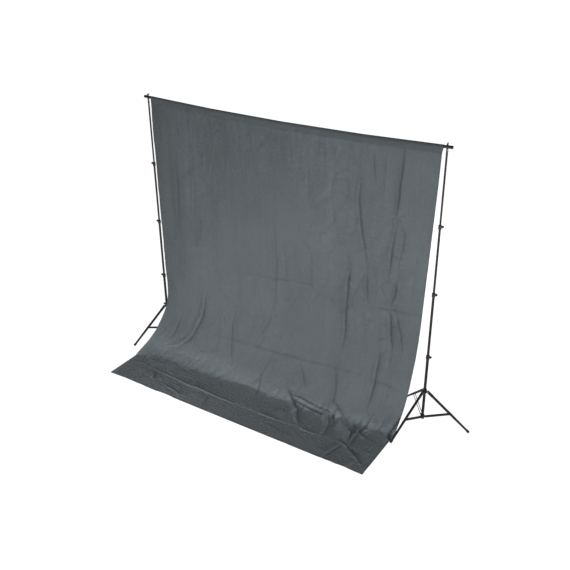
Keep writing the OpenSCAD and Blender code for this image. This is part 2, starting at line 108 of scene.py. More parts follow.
FLOOR_SIZE = 60.0
FLOOR_DROP = 0.0006
FLOOR_COLOUR = (0.16, 0.16, 0.16)
FLOOR_ROUGHNESS = 0.9
# How brightly the floor glows on the object, and how brightly it is seen
FLOOR_GLOW = 0.35
FLOOR_SEEN = 0.96


def lit_and_seen(nodes, links, lit, seen):
    """A strength that is one value where it lights the object, and another where the camera sees it."""
    strength = nodes.new("ShaderNodeMapRange")
    strength.inputs["To Min"].default_value = lit
    strength.inputs["To Max"].default_value = seen
    links.new(nodes.new("ShaderNodeLightPath").outputs["Is Camera Ray"], strength.inputs["Value"])
    return strength.outputs["Result"]


def make_floor():
    """A pale floor like a light table, so the object casts hardly any shadow on it."""
    corners = [(x * FLOOR_SIZE, y * FLOOR_SIZE, 0) for x, y in ((-1, -1), (1, -1), (1, 1), (-1, 1))]
    mesh = bpy.data.meshes.new("floor")
    mesh.from_pydata(corners, [], [(0, 1, 2, 3)])
    floor = bpy.data.objects.new("floor", mesh)
    bpy.context.scene.collection.objects.link(floor)
    floor.location.z = -FLOOR_DROP
    paint = bpy.data.materials.new("floor_paint")
    paint.use_nodes = True
    shader = paint.node_tree.nodes["Principled BSDF"]
    shader.inputs["Base Color"].default_value = (*FLOOR_COLOUR, 1)
    shader.inputs["Roughness"].default_value = FLOOR_ROUGHNESS
    shader.inputs["Specular IOR Level"].default_value = 0.0
    shader.inputs["Emission Color"].default_value = (1, 1, 1, 1)
    nodes, links = paint.node_tree.nodes, paint.node_tree.links
    links.new(lit_and_seen(nodes, links, FLOOR_GLOW, FLOOR_SEEN), shader.inputs["Emission Strength"])
    mesh.materials.append(paint)


def make_light(kind, name, place, energy):
    """place is from the middle between the stands; the light is aimed at the middle of the cloth."""
    data = bpy.data.lights.new(name, kind)
    data.energy = energy
    light = bpy.data.objects.new(name, data)
    bpy.context.scene.collection.objects.link(light)
    light.location = MIDDLE + Vector(place)
    aim = MIDDLE + Vector(LIGHT_TARGET) - light.location
    light.rotation_euler = aim.to_track_quat("-Z", "Y").to_euler()
    light.visible_camera = False
    return data


LIGHT_TARGET = (0.0, -0.2, 1.0)
# name, place, watts and width of each soft light
SOFT_LIGHTS = (
    ("low_left", (-1.0, -2.5, 0.3), 68.0, 0.9),
    ("low_right", (4.0, -4.0, 0.5), 270.0, 1.2),
    ("back", (-1.0, 4.5, 2.6), 150.0, 2.0),
)
SUN_PLACE = (6.8, -1.8, 7.0)
SUN_STRENGTH = 1.55
SUN_ANGLE = math.radians(12)
# How brightly the surroundings light the object, and how brightly they are seen
WORLD_STRENGTH = 0.15
WORLD_SEEN = 1.05


def make_lights():
    world = bpy.data.worlds.new("studio")
    world.use_nodes = True
    background = world.node_tree.nodes["Background"]
    background.inputs["Color"].default_value = (1.0, 1.0, 1.0, 1)
    nodes, links = world.node_tree.nodes, world.node_tree.links
    links.new(lit_and_seen(nodes, links, WORLD_STRENGTH, WORLD_SEEN), background.inputs["Strength"])
    bpy.context.scene.world = world
    make_light("SUN", "side", SUN_PLACE, SUN_STRENGTH).angle = SUN_ANGLE
    for name, place, watts, width in SOFT_LIGHTS:
        make_light("AREA", name, place, watts).size = width
    bpy.context.scene.view_settings.view_transform = "Standard"


# ---- materials ----

# The mix node's colour sockets, which share their names with its other kinds
COLOUR_A = 6
COLOUR_B = 7
COLOUR_RESULT = 2
# How nearly the bevelled normal matches the face's, off an edge and on it
FLAT_MATCH = 0.985
EDGE_MATCH = 0.8


def grey(shade):
    return (shade, shade, shade)


class Paint:
    """A material with a principled shader, and short calls to add and join its nodes."""

    def __init__(self, name, colour, roughness, metallic=0.0, **sockets):
        self.material = bpy.data.materials.new(name)
        self.material.use_nodes = True
        self.tree = self.material.node_tree
        self.shader = self.tree.nodes["Principled BSDF"]
        self.set(self.shader, "Base Color", (*colour, 1))
        self.set(self.shader, "Roughness", roughness)
        self.set(self.shader, "Metallic", metallic)
        for socket, value in sockets.items():
            self.set(self.shader, socket.replace("_", " "), value)
        self.place = self.add("ShaderNodeTexCoord").outputs["Object"]

    def set(self, node, socket, value):
        target = node.inputs[socket]
        if isinstance(value, bpy.types.NodeSocket):
            self.tree.links.new(value, target)
        else:
            target.default_value = value

    def add(self, kind, settings=None, **sockets):
        node = self.tree.nodes.new(kind)
        for key, value in (settings or {}).items():
            setattr(node, key, value)
        for socket, value in sockets.items():
            self.set(node, socket.replace("_", " "), value)
        return node

    def stretched(self, scale):
        node = self.add("ShaderNodeMapping", Vector=self.place)
        node.inputs["Scale"].default_value = scale
        return node.outputs["Vector"]

    def noise(self, scale=1.0, detail=3.0, stretch=None, roughness=0.5):
        """Noise with scale features to a metre, or with stretch features to a metre along x, y and z."""
        vector = self.stretched(stretch) if stretch else self.place
        node = self.add("ShaderNodeTexNoise", Vector=vector, Scale=scale, Detail=detail, Roughness=roughness)
        return node.outputs["Fac"]

    def remap(self, value, low, high, new_low, new_high):
        node = self.add("ShaderNodeMapRange", Value=value)
        sockets = ("From Min", "From Max", "To Min", "To Max")
        for socket, number in zip(sockets, (low, high, new_low, new_high)):
            node.inputs[socket].default_value = number
        return node.outputs["Result"]

    def math(self, operation, a, b=0.0):
        node = self.add("ShaderNodeMath", {"operation": operation})
        self.set(node, 0, a)
        self.set(node, 1, b)
        return node.outputs["Value"]

    def blend(self, share, first, second):
        """Colour from first, where share is 0, to second, where it is 1."""
        node = self.add("ShaderNodeMix", {"data_type": "RGBA"})
        self.set(node, "Factor", share)
        for socket, colour in ((COLOUR_A, first), (COLOUR_B, second)):
            self.set(node, socket, colour if isinstance(colour, bpy.types.NodeSocket) else (*colour, 1))
        return node.outputs[COLOUR_RESULT]

    def colour(self, socket):
        self.set(self.shader, "Base Color", socket)

    def rough(self, socket):
        self.set(self.shader, "Roughness", socket)

    def bump(self, height, distance, strength=1.0):
        node = self.add("ShaderNodeBump", Strength=strength, Distance=distance, Height=height)
        earlier = self.shader.inputs["Normal"].links
        if earlier:
            self.set(node, "Normal", earlier[0].from_socket)
        self.set(self.shader, "Normal", node.outputs["Normal"])

    def edge_wear(self, reach):
        """1 along outside edges and corners, 0 elsewhere."""
        node = self.add("ShaderNodeBevel", {"samples": 4}, Radius=reach)
        flat = self.add("ShaderNodeNewGeometry").outputs["Normal"]
        turned = self.add("ShaderNodeVectorMath", {"operation": "DOT_PRODUCT"})
        self.set(turned, 0, node.outputs["Normal"])
        self.set(turned, 1, flat)
        return self.remap(turned.outputs["Value"], FLAT_MATCH, EDGE_MATCH, 0.0, 1.0)


def satin_black_metal(name, along, shade):
    """Black anodised tube: fine lines along it, a few rubbed patches, dust in the finish."""
    paint = Paint(name, grey(shade), roughness=0.5, Specular_IOR_Level=0.22)
    fine = [900.0, 900.0, 900.0]
    fine["xyz".index(along)] = 12.0
    lines = paint.noise(detail=2.0, stretch=fine)
    patches = paint.noise(scale=14.0, detail=5.0)
    rubbed = paint.remap(patches, low=0.58, high=0.75, new_low=0.0, new_high=1.0)
    paint.colour(paint.blend(rubbed, grey(shade), grey(shade * 2.2)))
    both = paint.math("ADD", lines, patches)
    paint.rough(paint.remap(both, low=0.7, high=1.3, new_low=0.42, new_high=0.6))
    paint.bump(lines, distance=0.00004, strength=0.5)
    return paint.material


def moulded_black(name, shade, roughness, grain=1500.0):
    """Moulded plastic: a fine spark grain, edges polished by hands."""
    paint = Paint(name, grey(shade), roughness, Specular_IOR_Level=0.28)
    texture = paint.noise(scale=grain, detail=2.0)
    patches = paint.noise(scale=45.0, detail=4.0)
    paint.colour(paint.blend(patches, grey(shade * 0.8), grey(shade * 1.35)))
    polished, dull = roughness - 0.07, roughness + 0.09
    paint.rough(paint.remap(patches, low=0.3, high=0.7, new_low=polished, new_high=dull))
    paint.bump(texture, distance=0.00006, strength=0.6)
    return paint.material


LEG_SHADE = 0.007
BARE_METAL_SHADE = 0.16
WORN_REACH = 0.0012


def pressed_leg_metal(name):
    """Painted pressed strip and channel: slight orange peel, bare metal showing along the edges."""
    paint = Paint(name, grey(LEG_SHADE), roughness=0.5, Specular_IOR_Level=0.24)
    peel = paint.noise(scale=420.0, detail=2.0)
    patches = paint.noise(scale=22.0, detail=4.0)
    rubbed = paint.remap(patches, low=0.45, high=0.65, new_low=0.0, new_high=0.5)
    worn = paint.math("MULTIPLY", paint.edge_wear(WORN_REACH), rubbed)
    paint.colour(paint.blend(worn, grey(LEG_SHADE), grey(BARE_METAL_SHADE)))
    paint.rough(paint.remap(patches, low=0.3, high=0.7, new_low=0.42, new_high=0.58))
    paint.bump(peel, distance=0.00006, strength=0.4)
    return paint.material


def bright_metal(name, colour, roughness, speckle=0.0):
    """Turned or sheet metal with fine marks; speckle adds the mottling of a worn plated fitting."""
    paint = Paint(name, colour, roughness, metallic=1.0)
    marks = paint.noise(detail=3.0, stretch=(250.0, 250.0, 2500.0))
    stain = paint.noise(scale=260.0, detail=5.0)
    dull = tuple(c * (0.82 - 0.5 * speckle) for c in colour)
    stained = paint.remap(stain, low=0.42, high=0.62, new_low=0.0, new_high=1.0)
    paint.colour(paint.blend(stained, colour, dull))
    smooth, scratched = roughness - 0.06, roughness + 0.12
    paint.rough(paint.remap(marks, low=0.3, high=0.7, new_low=smooth, new_high=scratched))
    paint.bump(marks, distance=0.00003, strength=0.6)
    return paint.material


CLEAN_RUBBER = (0.009, 0.009, 0.009)
DUSTY_RUBBER = (0.035, 0.034, 0.032)


def black_rubber(name):
    """Moulded rubber: a coarse grain, with floor dust in patches."""
    paint = Paint(name, CLEAN_RUBBER, roughness=0.8, Specular_IOR_Level=0.2)
    grain = paint.noise(scale=900.0, detail=3.0)
    dust = paint.noise(scale=60.0, detail=4.0)
    dusty = paint.remap(dust, low=0.4, high=0.8, new_low=0.0, new_high=0.6)
    paint.colour(paint.blend(dusty, CLEAN_RUBBER, DUSTY_RUBBER))
    paint.rough(paint.remap(dust, low=0.3, high=0.7, new_low=0.68, new_high=0.85))
    paint.bump(grain, distance=0.0001, strength=0.6)
    return paint.material


CLOTH_COLOUR = (0.068, 0.080, 0.087)
HEM_SHADE = 0.94
# Painted shade: share of its brightness that the cloth's colour loses per unit of its per-point shading;
# below 0 that shading paints light instead
PAINTED_FOLD_SHADE = 0.46
# Threads, and fine wrinkles lying across and hanging down: features to a metre along x, y and z
WEFT = (1600.0, 1600.0, 90.0)
WARP = (90.0, 90.0, 1600.0)
SLUBS = (9.0, 60.0, 700.0)
CROSS_WRINKLES = (11.0, 60.0, 75.0)
HANGING_WRINKLES = (65.0, 24.0, 3.0)


def muslin(name, shade=1.0):
    """Plain-woven cotton: crossed threads, slubs, slight unevenness in the dye and a soft nap; its colour
    also carries painted shade and light read from a per-point attribute of the mesh.
    """
    base = tuple(c * shade for c in CLOTH_COLOUR)
    paint = Paint(name, base, roughness=0.9, Sheen_Weight=0.12, Sheen_Roughness=0.6, Specular_IOR_Level=0.18)
    across = paint.noise(detail=2.0, stretch=WEFT)
    down = paint.noise(detail=2.0, stretch=WARP)
    slubs = paint.noise(detail=3.0, stretch=SLUBS)
    dye = paint.noise(scale=2.2, detail=6.0, roughness=0.6)
    mottle = paint.noise(scale=38.0, detail=4.0)
    tone = paint.math("ADD", paint.math("MULTIPLY", dye, 0.6), paint.math("MULTIPLY", mottle, 0.4))
    dark, light = tuple(c * 0.9 for c in base), tuple(c * 1.1 for c in base)
    threads = paint.math("MULTIPLY", paint.math("ADD", across, down), 0.5)
    woven = paint.blend(paint.remap(tone, low=0.35, high=0.65, new_low=0.0, new_high=1.0), dark, light)
    # Painted shade along folds, seams and the pocket, and painted light and shade patches, from a per-point
    # value: above 0 darker, below 0 lighter
    painted_shading = paint.add("ShaderNodeAttribute", {"attribute_name": "painted_shading"}).outputs["Fac"]
    painted_shading_factor = paint.remap(painted_shading, -1.0, 2.0, 1.0 + PAINTED_FOLD_SHADE, 1.0 - 2.0 * PAINTED_FOLD_SHADE)
    gaps = paint.remap(threads, low=0.35, high=0.65, new_low=0.88, new_high=1.06)
    weave = paint.add("ShaderNodeVectorMath", {"operation": "SCALE"})
    paint.set(weave, 0, woven)
    paint.set(weave, "Scale", paint.math("MULTIPLY", gaps, painted_shading_factor))
    paint.colour(weave.outputs["Vector"])
    paint.bump(threads, distance=0.00025, strength=0.7)
    paint.bump(slubs, distance=0.0002, strength=0.4)
    paint.bump(mottle, distance=0.0006, strength=0.35)
    paint.bump(paint.noise(stretch=CROSS_WRINKLES), distance=0.0048)
    paint.bump(paint.noise(stretch=HANGING_WRINKLES), distance=0.006)
    return paint.material


def sewing_thread(name):
    """Twisted cotton thread, a shade lighter than the cloth."""
    paint = Paint(name, (0.1, 0.11, 0.118), roughness=0.7, Sheen_Weight=0.2)
    twist = paint.noise(detail=2.0, stretch=(2400.0, 2400.0, 2400.0))
    paint.colour(paint.blend(twist, (0.07, 0.078, 0.084), (0.13, 0.142, 0.15)))
    paint.rough(paint.remap(twist, low=0.3, high=0.7, new_low=0.6, new_high=0.8))
    paint.bump(twist, distance=0.0001, strength=0.6)
    return paint.material


SMOOTH_ANGLE = math.radians(35)


def dress(node, material):
    """Gives a CAD node its material, and smooth shading on its round faces."""
    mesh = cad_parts[node].data
    mesh.materials.clear()
    mesh.materials.append(material)
    mesh.shade_smooth()
    mesh.set_sharp_from_angle(angle=SMOOTH_ANGLE)


def dress_all():
    tube = satin_black_metal("stand_tube", along="z", shade=0.007)
    bar = satin_black_metal("bar_tube", along="x", shade=0.022)
    collar = moulded_black("collar_plastic", shade=0.008, roughness=0.5)
    knob = moulded_black("knob_plastic", shade=0.007, roughness=0.46, grain=900.0)
    leg = pressed_leg_metal("leg_metal")
    steel = bright_metal("pin_steel", colour=(0.46, 0.46, 0.47), roughness=0.32)
    spring = bright_metal("spring_steel", colour=(0.62, 0.62, 0.62), roughness=0.25)
    stud = bright_metal("stud_metal", colour=(0.15, 0.142, 0.135), roughness=0.42, speckle=1.0)
    wing = moulded_black("wing_nut", shade=0.012, roughness=0.42, grain=700.0)
    rubber = black_rubber("foot_rubber")
    for i in range(1, 5):
        dress(f"bar_section_{i}", bar)
    for i in range(1, 4):
        dress(f"spring_button_{i}", spring)
    dress("button_springs", spring)
    dress("bar_end_caps", knob)
    for side in SIDES:
        for node in ("base_tube", "riser_1", "riser_2", "riser_3"):
            dress(f"{side}_{node}", tube)
        for node in ("collar_1", "collar_2", "collar_3", "hub", "lower_yoke"):
            dress(f"{side}_{node}", collar)
        for node in ("knob_1", "knob_2", "knob_3", "hub_knob"):
            dress(f"{side}_{node}", knob)
        for letter in "abc":
            dress(f"{side}_leg_{letter}", leg)
            dress(f"{side}_brace_{letter}", leg)
            dress(f"{side}_foot_{letter}", rubber)
        dress(f"{side}_hub_pins", steel)
        dress(f"{side}_stud", stud)
        dress(f"{side}_wing_nut", wing)


# ---- the backdrop ----

# The drape's driving sizes, in metres: x is from the middle between the stands, y from their plane
# and z from the floor
LEFT_TOP_X = -HALF_SPAN + 0.043
RIGHT_TOP_X = HALF_SPAN - 0.032
LEFT_FRONT_X = -HALF_SPAN - 0.012
RIGHT_FRONT_X = HALF_SPAN - 0.138
SPREAD_HEIGHT = 0.6
FRONT_REACH = 0.905
# Each pair holds the value at the left edge and at the right edge
SWEEP_HEIGHT = (0.55, 1.00)
SWEEP_REACH = (0.48, 0.38)
SWEEP_TURN = (math.radians(71), math.radians(63))
TOUCH = (0.41, 0.33)
TOUCH_WANDER = (0.012, 0.035)
TOUCH_RAGGED = (0.026, 0.020)
# Length over which the hanging cloth eases into the part lying on the floor
TOUCH_EASE = 0.03
# The left edge kicks out further than the rest, over this share of the width
LEFT_STRIP = 0.12
LEFT_REACH = 0.18
LEFT_TOUCH = 0.15
POCKET = 0.052
CLOTH_THICK = 0.0008
# From the bar's axis to the middle of the cloth that lies over it
CLOTH_R = BAR_R + 0.0009
# How far behind the front of the pocket its back layer is sewn
POCKET_TUCK = 0.0022
GRID = 0.0085
# Lowest that the cloth's middle may be above the floor
LIFT = 0.0014


def mix(a, b, share):
    return a + (b - a) * share


def smooth_step(value, low, high):
    t = np.clip((value - low) / (high - low), 0.0, 1.0)
    return t * t * (3 - 2 * t)


# Cells of random numbers in each direction, and the cell that the middle of the bar is in
CELLS = 64
FIRST_CELL = 20


def lattice(seed, u, v, size_u, size_v):
    """Smooth random heights between -1 and 1, with bumps size_u by size_v metres."""
    table = np.random.default_rng(seed).uniform(-1, 1, (CELLS, CELLS))
    a, b = u / size_u + FIRST_CELL, v / size_v + FIRST_CELL
    i, j = np.floor(a).astype(int), np.floor(b).astype(int)
    s, t = a - i, b - j
    s, t = s * s * (3 - 2 * s), t * t * (3 - 2 * t)

    def get(p, q):
        return table[p % CELLS, q % CELLS]

    return mix(mix(get(i, j), get(i + 1, j), s), mix(get(i, j + 1), get(i + 1, j + 1), s), t)


# A facet's lean is complete where its two nearest seats' distances differ by this, in cells
FACET_FADE = 0.25


def crumple(seed, u, v, size_u, size_v, tilt, sharpness):
    """Cloth crushed into facets of about size_u by size_v metres.

    Returns its heights, and a value that is 1 on the lines between facets.
    """
    rng = np.random.default_rng(seed)
    offsets, tilts = rng.uniform(0, 1, (CELLS, CELLS, 2)), rng.uniform(-tilt, tilt, (CELLS, CELLS, 2))
    a, b = u / size_u + FIRST_CELL, v / size_v + FIRST_CELL
    first, second = np.full(a.shape, np.inf), np.full(a.shape, np.inf)
    slope = np.zeros(a.shape)
    for di in (-1, 0, 1):
        for dj in (-1, 0, 1):
            i, j = np.floor(a).astype(int) + di, np.floor(b).astype(int) + dj
            seat = offsets[i % CELLS, j % CELLS]
            da, db = a - i - seat[..., 0], b - j - seat[..., 1]
            gap = np.hypot(da, db)
            lean = tilts[i % CELLS, j % CELLS]
            nearest = gap < first
            second = np.where(nearest, first, np.minimum(second, gap))
            slope = np.where(nearest, lean[..., 0] * da * size_u + lean[..., 1] * db * size_v, slope)
            first = np.where(nearest, gap, first)
    border = second - first
    line = np.exp(-((border * sharpness) ** 2))
    return slope * smooth_step(border, 0.0, FACET_FADE), line


# How many points the drape's path has over the bar, down its straight part, round its sweep
# and where it lands
OVER_BAR_POINTS = 17
STRAIGHT_POINTS = 40
SWEEP_POINTS = 60
EASE_POINTS = 9
# Seed and size, as a share of the width, of the soft and the ragged unevenness of the line where it lands
SOFT_LINE = (2, 0.09)
RAGGED_LINE = (4, 0.011)


def uneven(share, seed, size):
    return float(lattice(seed, np.array(share), np.array(0.0), size, 1.0))


def drape_path(share):
    """One column of the unwrinkled drape, as (y, z) points from the pocket's back edge to the front edge."""
    top = bar_z(mix(LEFT_TOP_X, RIGHT_TOP_X, share))
    edge = max(0.0, 1 - share / LEFT_STRIP) ** 2
    height = mix(*SWEEP_HEIGHT, share)
    reach = mix(*SWEEP_REACH, share) + LEFT_REACH * edge
    wander = mix(*TOUCH_WANDER, share) * uneven(share, *SOFT_LINE)
    wander += mix(*TOUCH_RAGGED, share) * uneven(share, *RAGGED_LINE)
    touch = mix(*TOUCH, share**2) + LEFT_TOUCH * edge + wander
    over = np.linspace(0, math.pi, OVER_BAR_POINTS)
    sweep = np.linspace(0, mix(*SWEEP_TURN, share), SWEEP_POINTS)
    straight = [k / STRAIGHT_POINTS for k in range(1, STRAIGHT_POINTS)]
    points = [(-CLOTH_R + POCKET_TUCK, top - POCKET)]
    points += [(CLOTH_R * math.cos(a), top + CLOTH_R * math.sin(a)) for a in over]
    points += [(-CLOTH_R, mix(top, height, part)) for part in straight]
    points += [(-CLOTH_R - reach * (1 - math.cos(a)), height * (1 - math.sin(a))) for a in sweep]
    points += landing_curve(*points[-1], touch)
    points += [(-FRONT_REACH, 0.0)]
    return np.array(points)


def landing_curve(low_y, low_z, touch):
    """The short curve from the end of the sweep, at low_y and low_z, to the floor around -touch."""
    slope = math.atan2(low_z, touch + low_y)
    part = max(0.0, 1 - TOUCH_EASE / (touch + low_y) * math.cos(slope))
    start_y, start_z = mix(low_y, -touch, part), TOUCH_EASE * math.sin(slope)
    end_y = -touch - TOUCH_EASE
    ease = np.linspace(0, 1, EASE_POINTS)
    return [
        ((1 - t) ** 2 * start_y - 2 * t * (1 - t) * touch + t * t * end_y, (1 - t) ** 2 * start_z)
        for t in ease
    ]


# The point of the path on the front of the bar, from which distances down the cloth are measured
BAR_FRONT_POINT = OVER_BAR_POINTS
# How quickly the left edge spreads and the right edge draws in, as powers of the height
LEFT_SPREAD = 1.5
RIGHT_DRAW = 0.7


def edge_x(share, z):
    """x of a drape point: the left edge spreads near the floor, the right draws in all the way down."""
    left = mix(LEFT_TOP_X, LEFT_FRONT_X, np.clip(1 - z / SPREAD_HEIGHT, 0, 1) ** LEFT_SPREAD)
    right = mix(RIGHT_FRONT_X, RIGHT_TOP_X, np.clip(z / (BAR_END_Z + CLOTH_R), 0, 1) ** RIGHT_DRAW)
    return mix(left, right, share)


# Creases: points (x from the middle, distance down the cloth from the bar), height, half width, and how dark
# the painted shade in the groove is, or below 0 how light its painted highlight is. Each is a ridge towards
# the front, with a sharp groove beside it.
CREASES = (
    (((1.16, 0.03), (1.13, 0.68)), 0.008, 0.008, 1.1),
    (((1.14, 0.66), (1.12, 0.88), (1.10, 1.14), (1.09, 1.25)), 0.010, 0.014, 0.9),
    (((1.16, 0.66), (1.21, 0.78), (1.21, 0.90), (1.16, 1.14)), 0.008, 0.013, 0.7),
    (((1.18, 1.22), (1.16, 1.36), (1.12, 1.50)), 0.009, 0.010, 0.9),
    (((1.12, 1.52), (1.14, 1.70), (1.17, 1.90)), 0.011, 0.016, 0.9),
    (((1.17, 1.52), (1.24, 1.72), (1.28, 1.92)), 0.007, 0.014, 0.6),
    (((0.79, 0.28), (0.78, 0.52), (0.80, 0.75), (0.86, 1.00), (0.89, 1.20)), 0.011, 0.017, 0.9),
    (((0.89, 1.18), (0.89, 1.35), (0.91, 1.50)), 0.006, 0.013, 0.7),
    (((0.90, 0.10), (0.90, 0.24), (0.93, 0.40)), 0.005, 0.011, 0.6),
    (((0.74, 1.08), (0.71, 1.35), (0.69, 1.60), (0.69, 1.91), (0.68, 2.07)), 0.012, 0.017, 1.0),
    (((0.69, 0.45), (0.70, 0.66)), 0.004, 0.011, 0.3),
    (((-0.07, 0.88), (-0.045, 1.41), (-0.085, 1.89)), 0.007, 0.013, 0.45),
    (((-0.11, 1.93), (-0.24, 2.17)), 0.008, 0.015, 0.4),
    (((-1.19, 0.30), (-1.20, 0.62), (-1.20, 0.92), (-1.24, 1.45)), 0.009, 0.020, 0.38),
    (((-0.99, 0.22), (-1.00, 0.85), (-1.03, 1.38)), 0.006, 0.016, 0.22),
    (((-0.92, 1.10), (-1.01, 1.42)), 0.007, 0.012, 0.4),
    (((-0.92, 1.88), (-0.97, 2.20), (-1.04, 2.45), (-1.16, 2.60), (-1.30, 2.66)), 0.016, 0.022, 1.0),
    (((-1.25, 2.24), (-1.27, 2.48), (-1.33, 2.60)), 0.009, 0.020, 0.6),
    (((-0.53, 1.90), (-0.58, 2.14), (-0.54, 2.38), (-0.44, 2.60)), 0.009, 0.018, 0.5),
    (((-0.30, 1.55), (-0.33, 1.80)), 0.004, 0.012, 0.3),
    (((1.06, 1.93), (1.06, 2.26), (1.04, 2.54)), 0.011, 0.017, 1.0),
    (((0.28, 2.30), (0.39, 2.53)), 0.006, 0.016, 0.5),
    (((0.63, 2.20), (0.70, 2.45), (0.73, 2.66)), 0.007, 0.015, 0.6),
    (((-0.49, 1.56), (0.02, 1.49), (0.55, 1.44)), 0.0025, 0.012, 0.25),
    (((-0.84, 2.33), (0.00, 2.28), (0.61, 2.24), (1.07, 2.22)), 0.003, 0.014, 0.3),
    (((0.98, 2.24), (1.34, 2.27)), 0.004, 0.014, 0.3),
    (((0.90, 1.53), (1.40, 1.50)), 0.0035, 0.013, 0.3),
    (((-0.12, 2.52), (-0.06, 2.70), (-0.02, 2.82)), 0.010, 0.014, 0.8),
    (((0.22, 2.56), (0.42, 2.75), (0.56, 2.95)), 0.022, 0.017, 1.0),
    (((0.26, 2.61), (0.50, 2.63), (0.74, 2.66)), 0.010, 0.012, 0.9),
    (((0.30, 2.66), (0.55, 2.69), (0.75, 2.72)), 0.012, 0.014, 0.9),
    (((0.70, 2.52), (0.88, 2.66), (1.02, 2.82), (1.08, 3.00)), 0.030, 0.030, 0.6),
    (((0.66, 2.58), (0.78, 2.78), (0.84, 3.02)), 0.018, 0.022, 0.9),
    (((0.93, 2.62), (1.10, 2.78), (1.35, 2.86)), 0.010, 0.014, 0.4),
    (((1.20, 2.55), (1.14, 2.72), (1.04, 2.92)), 0.010, 0.014, 0.5),
    (((1.03, 2.98), (0.97, 3.24)), 0.012, 0.012, 1.3),
    (((1.07, 2.64), (1.09, 3.06)), 0.014, 0.014, 0.5),
    (((0.96, 2.95), (1.24, 3.07)), 0.010, 0.012, 0.8),
    (((1.10, 3.02), (1.32, 3.16)), 0.008, 0.012, 0.8),
    (((0.30, 3.08), (0.62, 3.13)), 0.006, 0.012, 0.6),
    (((-0.95, 3.10), (-0.62, 3.16)), 0.005, 0.012, 0.5),
    (((-1.10, 3.02), (-1.06, 3.12)), 0.005, 0.012, 0.7),
    (((-0.40, 3.05), (-0.37, 3.20)), 0.005, 0.012, 0.7),
    (((-1.44, 2.96), (-0.70, 2.99), (0.00, 2.99), (0.70, 2.98), (1.37, 3.00)), 0.007, 0.006, -1.3),
)
# Small star-shaped pinches: x, distance down, depth
PINCHES = ((-0.90, 0.42, 0.006), (1.14, 0.64, 0.010), (1.14, 1.49, 0.010), (-0.08, 1.90, 0.009))


GROOVE_HALF_WIDTH = 0.0065
# Depth of a crease's groove, as a share of the ridge's height
GROOVE_SHARE = 0.5
# Painted shade in a crease's groove, per unit of its depth
CREASE_SHADE = 1.5
# The soft side of a crease: how dark its painted shade is against the groove's, and its place and width in
# half widths
SOFT_SHADE = 0.22
SOFT_PLACE = 0.6
SOFT_WIDTH = 0.8
# How bluntly a crease tapers, and its ridge's and groove's widths at its ends and what the middle adds
TAPER_POWER = 0.55
RIDGE_WIDTH = (0.5, 0.9)
GROOVE_WIDTH = (0.6, 0.6)
# How far a groove wanders to the side, how fast in radians to a metre, and what sets creases apart
GROOVE_WANDER = 0.0025
WANDER_RATE = 17
WANDER_SHIFT = 300
# How far a crease reaches past its ends, in half widths
END_REACH = 4


def crease(x, down, points, rise, width, depth):
    """One crease that tapers at both ends: its height, and the painted shade along its sharp groove and soft
    side, or a painted highlight along the groove where depth is below 0.
    """
    best = np.full(x.shape, np.inf)
    side = np.zeros(x.shape)
    along = np.zeros(x.shape)
    lengths = [math.dist(a, b) for a, b in zip(points, points[1:])]
    total, gone = sum(lengths), 0.0
    for a, b, length in zip(points, points[1:], lengths):
        dx, dv = (b[0] - a[0]) / length, (b[1] - a[1]) / length
        run = (x - a[0]) * dx + (down - a[1]) * dv
        held = np.clip(run, 0, length)
        gap = np.hypot(x - a[0] - held * dx, down - a[1] - held * dv)
        nearer = gap < best
        best = np.where(nearer, gap, best)
        side = np.where(nearer, (x - a[0]) * dv - (down - a[1]) * dx, side)
        along = np.where(nearer, (gone + held) / total, along)
        gone += length
    taper = np.sin(math.pi * np.clip(along, 0, 1)) ** TAPER_POWER
    side = side + GROOVE_WANDER * np.sin(WANDER_RATE * along * total + WANDER_SHIFT * rise)
    wide = width * (RIDGE_WIDTH[0] + RIDGE_WIDTH[1] * taper)
    narrow = GROOVE_HALF_WIDTH * (GROOVE_WIDTH[0] + GROOVE_WIDTH[1] * taper)
    near = np.exp(-((best / (END_REACH * width)) ** 4))
    ridge = np.exp(-(((side + wide) / wide) ** 2))
    groove = depth * np.exp(-((side / narrow) ** 2))
    soft = np.exp(-(((side - SOFT_PLACE * wide) / (SOFT_WIDTH * wide)) ** 2))
    groove += max(depth, 0) * SOFT_SHADE * soft
    return rise * taper * near * (ridge - GROOVE_SHARE * groove), taper * near * groove


# A pinch: its rays and the angle they start from, how far they reach, and its eye and dip
PINCH_RAYS = 5
PINCH_ANGLE = 1
PINCH_REACH = 0.09
PINCH_EYE = 0.02
PINCH_DIP = 0.03
RAY_SHARE = 0.35


def pinch(x, down, px, pv, depth):
    """Height of a pinched point with short rays round it."""
    gap = np.hypot(x - px, down - pv)
    rays = np.cos(PINCH_RAYS * np.arctan2(down - pv, x - px) + PINCH_ANGLE)
    rays *= np.exp(-((gap / PINCH_REACH) ** 2))
    spread = 1 - np.exp(-((gap / PINCH_EYE) ** 2))
    return depth * (RAY_SHARE * rays * spread - np.exp(-((gap / PINCH_DIP) ** 2)))


# Crushed facets: seed, size across, size down, lean of a facet, sharpness of its lines, depth of its lines,
# which also scales the painted shade along them
CRUMPLES = (
    (61, 0.17, 0.50, 0.060, 9.0, 0.0018),
    (67, 0.11, 0.14, 0.075, 7.0, 0.0012),
    (71, 0.08, 0.04, 0.080, 5.0, 0.0007),
)
# Painted shade along the lines between facets
CRUMPLE_SHADE = 0.10
# How far the lines between facets wander, and the size of their turns
LINE_WANDER = 0.004
LINE_TURN = 0.07
# Crumpled patches: seed, size across, size down; and how crumpled the cloth is between them
PATCHES = (77, 0.45, 0.5)
PATCH_EDGES = (-0.6, 0.6)
BETWEEN_PATCHES = 0.35
# How crumpled the cloth is at the left and at the right, and what it loses on the floor and by the edge
CRUMPLED_ACROSS = (0.75, 1.15)
LESS_ON_FLOOR = 0.45
LESS_BY_EDGE = 0.7

